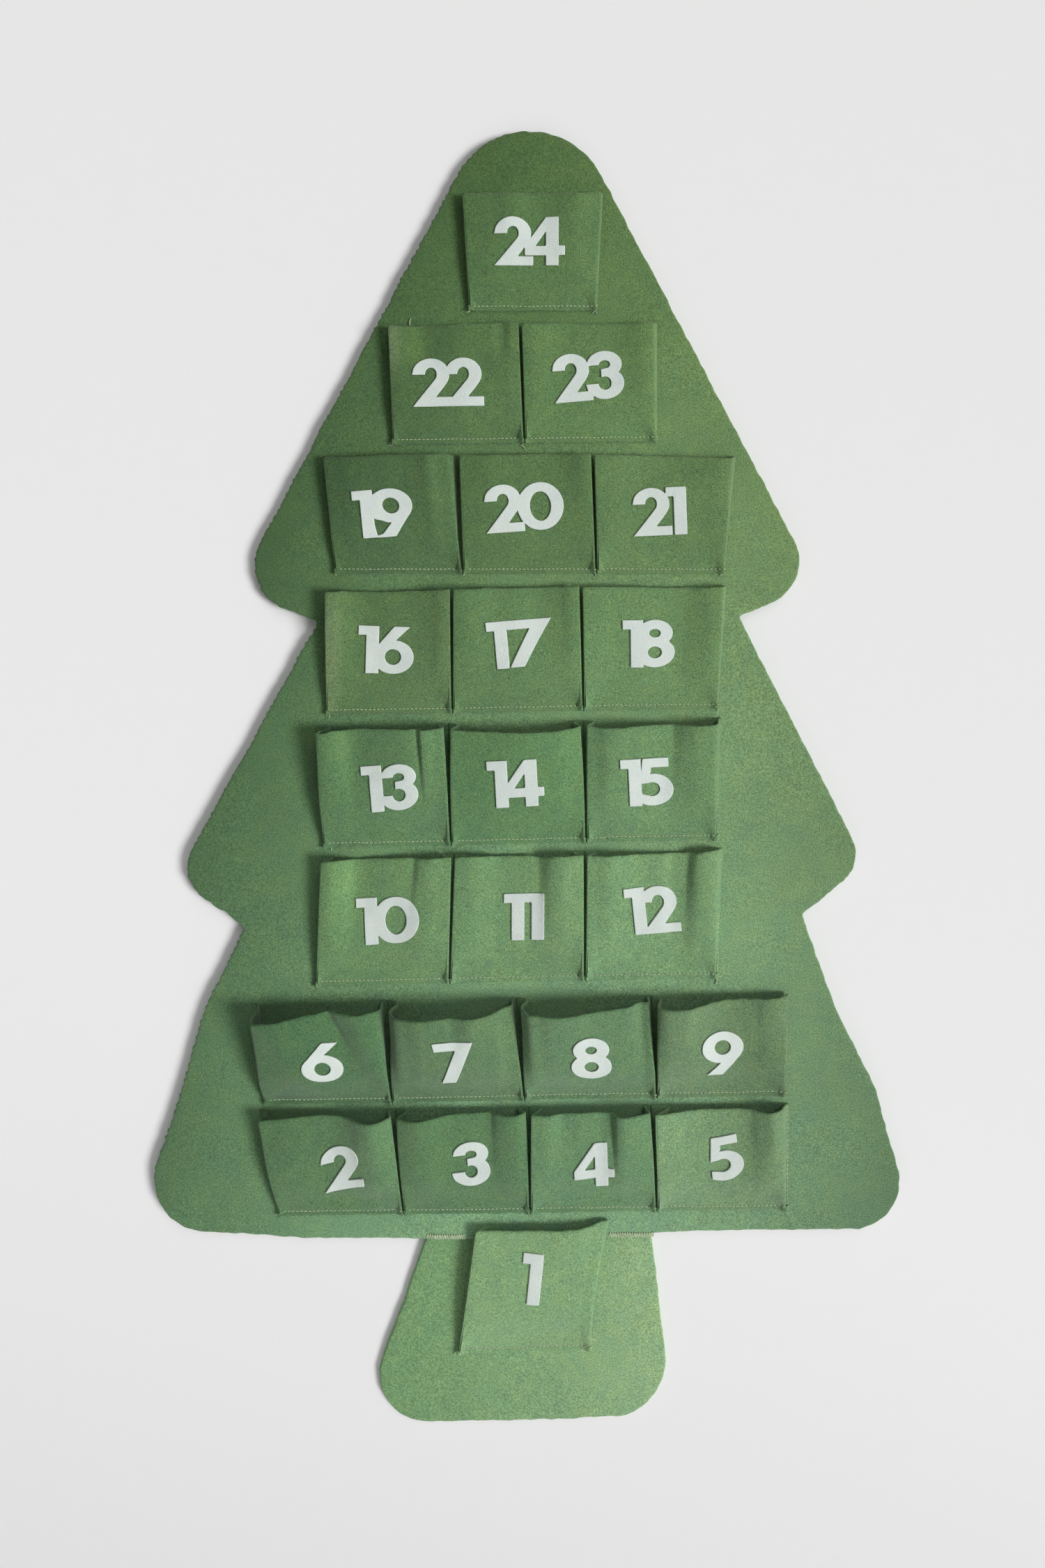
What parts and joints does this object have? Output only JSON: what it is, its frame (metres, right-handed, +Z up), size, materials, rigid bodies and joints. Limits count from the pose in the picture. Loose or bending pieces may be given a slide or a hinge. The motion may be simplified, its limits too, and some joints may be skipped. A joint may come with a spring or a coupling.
{
  "type": "felt advent calendar",
  "caption": "Felt wall hanging shaped as a three-tier tree on a trunk, with pleated strips of numbered pockets that open at the top for small gifts.",
  "frame": {"origin": "the point on the wall's face that the hanging loop hangs from, behind the tree's tip", "axes": "+X to the viewer's right, +Y into the wall, +Z up"},
  "size_m": [0.5207, 0.0303, 0.9003],
  "materials": {
    "tree_felt": "matt mid-green felt, 3 mm, lightly mottled",
    "trunk_felt": "matt lighter green felt, 3 mm, lightly mottled",
    "pocket_felt": "matt mid-green felt, 1.5 mm, softly creased",
    "number_felt": "pale greenish-white die-cut felt, 1 mm"
  },
  "bodies": {
    "backing": {"tree_backing": "tree_felt", "trunk_panel": "trunk_felt", "hanging_loop": "tree_felt", "strip_band_24_24": "pocket_felt", "strip_band_22_23": "pocket_felt", "strip_band_19_21": "pocket_felt", "strip_band_16_18": "pocket_felt", "strip_band_13_15": "pocket_felt", "strip_band_10_12": "pocket_felt", "strip_band_06_09": "pocket_felt", "strip_band_02_05": "pocket_felt", "strip_band_01_01": "pocket_felt"},
    "day_01": {"pocket_01": "pocket_felt", "number_01": "number_felt"},
    "day_02": {"pocket_02": "pocket_felt", "number_02": "number_felt"},
    "day_03": {"pocket_03": "pocket_felt", "number_03": "number_felt"},
    "day_04": {"pocket_04": "pocket_felt", "number_04": "number_felt"},
    "day_05": {"pocket_05": "pocket_felt", "number_05": "number_felt"},
    "day_06": {"pocket_06": "pocket_felt", "number_06": "number_felt"},
    "day_07": {"pocket_07": "pocket_felt", "number_07": "number_felt"},
    "day_08": {"pocket_08": "pocket_felt", "number_08": "number_felt"},
    "day_09": {"pocket_09": "pocket_felt", "number_09": "number_felt"},
    "day_10": {"pocket_10": "pocket_felt", "number_10": "number_felt"},
    "day_11": {"pocket_11": "pocket_felt", "number_11": "number_felt"},
    "day_12": {"pocket_12": "pocket_felt", "number_12": "number_felt"},
    "day_13": {"pocket_13": "pocket_felt", "number_13": "number_felt"},
    "day_14": {"pocket_14": "pocket_felt", "number_14": "number_felt"},
    "day_15": {"pocket_15": "pocket_felt", "number_15": "number_felt"},
    "day_16": {"pocket_16": "pocket_felt", "number_16": "number_felt"},
    "day_17": {"pocket_17": "pocket_felt", "number_17": "number_felt"},
    "day_18": {"pocket_18": "pocket_felt", "number_18": "number_felt"},
    "day_19": {"pocket_19": "pocket_felt", "number_19": "number_felt"},
    "day_20": {"pocket_20": "pocket_felt", "number_20": "number_felt"},
    "day_21": {"pocket_21": "pocket_felt", "number_21": "number_felt"},
    "day_22": {"pocket_22": "pocket_felt", "number_22": "number_felt"},
    "day_23": {"pocket_23": "pocket_felt", "number_23": "number_felt"},
    "day_24": {"pocket_24": "pocket_felt", "number_24": "number_felt"}
  },
  "joints": [
    {"name": "day_01_open", "type": "hinge", "parent": "backing", "child": "day_01", "pos_m": [0.003, -0.0051, -0.811], "axis": [1, 0, 0], "range_deg": [0, 8], "stiffness_Nm_per_rad": 0.05},
    {"name": "day_02_open", "type": "hinge", "parent": "backing", "child": "day_02", "pos_m": [-0.1365, -0.0084, -0.7187], "axis": [1, 0, 0], "range_deg": [0, 8], "stiffness_Nm_per_rad": 0.05},
    {"name": "day_03_open", "type": "hinge", "parent": "backing", "child": "day_03", "pos_m": [-0.045, -0.0084, -0.7176], "axis": [1, 0, 0], "range_deg": [0, 8], "stiffness_Nm_per_rad": 0.05},
    {"name": "day_04_open", "type": "hinge", "parent": "backing", "child": "day_04", "pos_m": [0.0455, -0.0084, -0.7165], "axis": [1, 0, 0], "range_deg": [0, 8], "stiffness_Nm_per_rad": 0.05},
    {"name": "day_05_open", "type": "hinge", "parent": "backing", "child": "day_05", "pos_m": [0.1325, -0.0084, -0.7153], "axis": [1, 0, 0], "range_deg": [0, 8], "stiffness_Nm_per_rad": 0.05},
    {"name": "day_06_open", "type": "hinge", "parent": "backing", "child": "day_06", "pos_m": [-0.142, -0.0084, -0.6409], "axis": [1, 0, 0], "range_deg": [0, 8], "stiffness_Nm_per_rad": 0.05},
    {"name": "day_07_open", "type": "hinge", "parent": "backing", "child": "day_07", "pos_m": [-0.05, -0.0084, -0.6393], "axis": [1, 0, 0], "range_deg": [0, 8], "stiffness_Nm_per_rad": 0.05},
    {"name": "day_08_open", "type": "hinge", "parent": "backing", "child": "day_08", "pos_m": [0.041, -0.0084, -0.6377], "axis": [1, 0, 0], "range_deg": [0, 8], "stiffness_Nm_per_rad": 0.05},
    {"name": "day_09_open", "type": "hinge", "parent": "backing", "child": "day_09", "pos_m": [0.132, -0.0084, -0.636], "axis": [1, 0, 0], "range_deg": [0, 8], "stiffness_Nm_per_rad": 0.05},
    {"name": "day_10_open", "type": "hinge", "parent": "backing", "child": "day_10", "pos_m": [-0.099, -0.0084, -0.558], "axis": [1, 0, 0], "range_deg": [0, 8], "stiffness_Nm_per_rad": 0.05},
    {"name": "day_11_open", "type": "hinge", "parent": "backing", "child": "day_11", "pos_m": [-0.007, -0.0084, -0.556], "axis": [1, 0, 0], "range_deg": [0, 8], "stiffness_Nm_per_rad": 0.05},
    {"name": "day_12_open", "type": "hinge", "parent": "backing", "child": "day_12", "pos_m": [0.0865, -0.0084, -0.554], "axis": [1, 0, 0], "range_deg": [0, 8], "stiffness_Nm_per_rad": 0.05},
    {"name": "day_13_open", "type": "hinge", "parent": "backing", "child": "day_13", "pos_m": [-0.1, -0.0084, -0.462], "axis": [1, 0, 0], "range_deg": [0, 8], "stiffness_Nm_per_rad": 0.05},
    {"name": "day_14_open", "type": "hinge", "parent": "backing", "child": "day_14", "pos_m": [-0.007, -0.0084, -0.46], "axis": [1, 0, 0], "range_deg": [0, 8], "stiffness_Nm_per_rad": 0.05},
    {"name": "day_15_open", "type": "hinge", "parent": "backing", "child": "day_15", "pos_m": [0.085, -0.0084, -0.458], "axis": [1, 0, 0], "range_deg": [0, 8], "stiffness_Nm_per_rad": 0.05},
    {"name": "day_16_open", "type": "hinge", "parent": "backing", "child": "day_16", "pos_m": [-0.096, -0.0084, -0.3695], "axis": [1, 0, 0], "range_deg": [0, 8], "stiffness_Nm_per_rad": 0.05},
    {"name": "day_17_open", "type": "hinge", "parent": "backing", "child": "day_17", "pos_m": [-0.0065, -0.0084, -0.3681], "axis": [1, 0, 0], "range_deg": [0, 8], "stiffness_Nm_per_rad": 0.05},
    {"name": "day_18_open", "type": "hinge", "parent": "backing", "child": "day_18", "pos_m": [0.087, -0.0084, -0.3665], "axis": [1, 0, 0], "range_deg": [0, 8], "stiffness_Nm_per_rad": 0.05},
    {"name": "day_19_open", "type": "hinge", "parent": "backing", "child": "day_19", "pos_m": [-0.0935, -0.0084, -0.272], "axis": [1, 0, 0], "range_deg": [0, 8], "stiffness_Nm_per_rad": 0.05},
    {"name": "day_20_open", "type": "hinge", "parent": "backing", "child": "day_20", "pos_m": [0, -0.0084, -0.272], "axis": [1, 0, 0], "range_deg": [0, 8], "stiffness_Nm_per_rad": 0.05},
    {"name": "day_21_open", "type": "hinge", "parent": "backing", "child": "day_21", "pos_m": [0.0935, -0.0084, -0.272], "axis": [1, 0, 0], "range_deg": [0, 8], "stiffness_Nm_per_rad": 0.05},
    {"name": "day_22_open", "type": "hinge", "parent": "backing", "child": "day_22", "pos_m": [-0.0495, -0.0084, -0.1815], "axis": [1, 0, 0], "range_deg": [0, 8], "stiffness_Nm_per_rad": 0.05},
    {"name": "day_23_open", "type": "hinge", "parent": "backing", "child": "day_23", "pos_m": [0.0425, -0.0084, -0.1805], "axis": [1, 0, 0], "range_deg": [0, 8], "stiffness_Nm_per_rad": 0.05},
    {"name": "day_24_open", "type": "hinge", "parent": "backing", "child": "day_24", "pos_m": [0.0035, -0.0084, -0.089], "axis": [1, 0, 0], "range_deg": [0, 8], "stiffness_Nm_per_rad": 0.05}
  ]
}
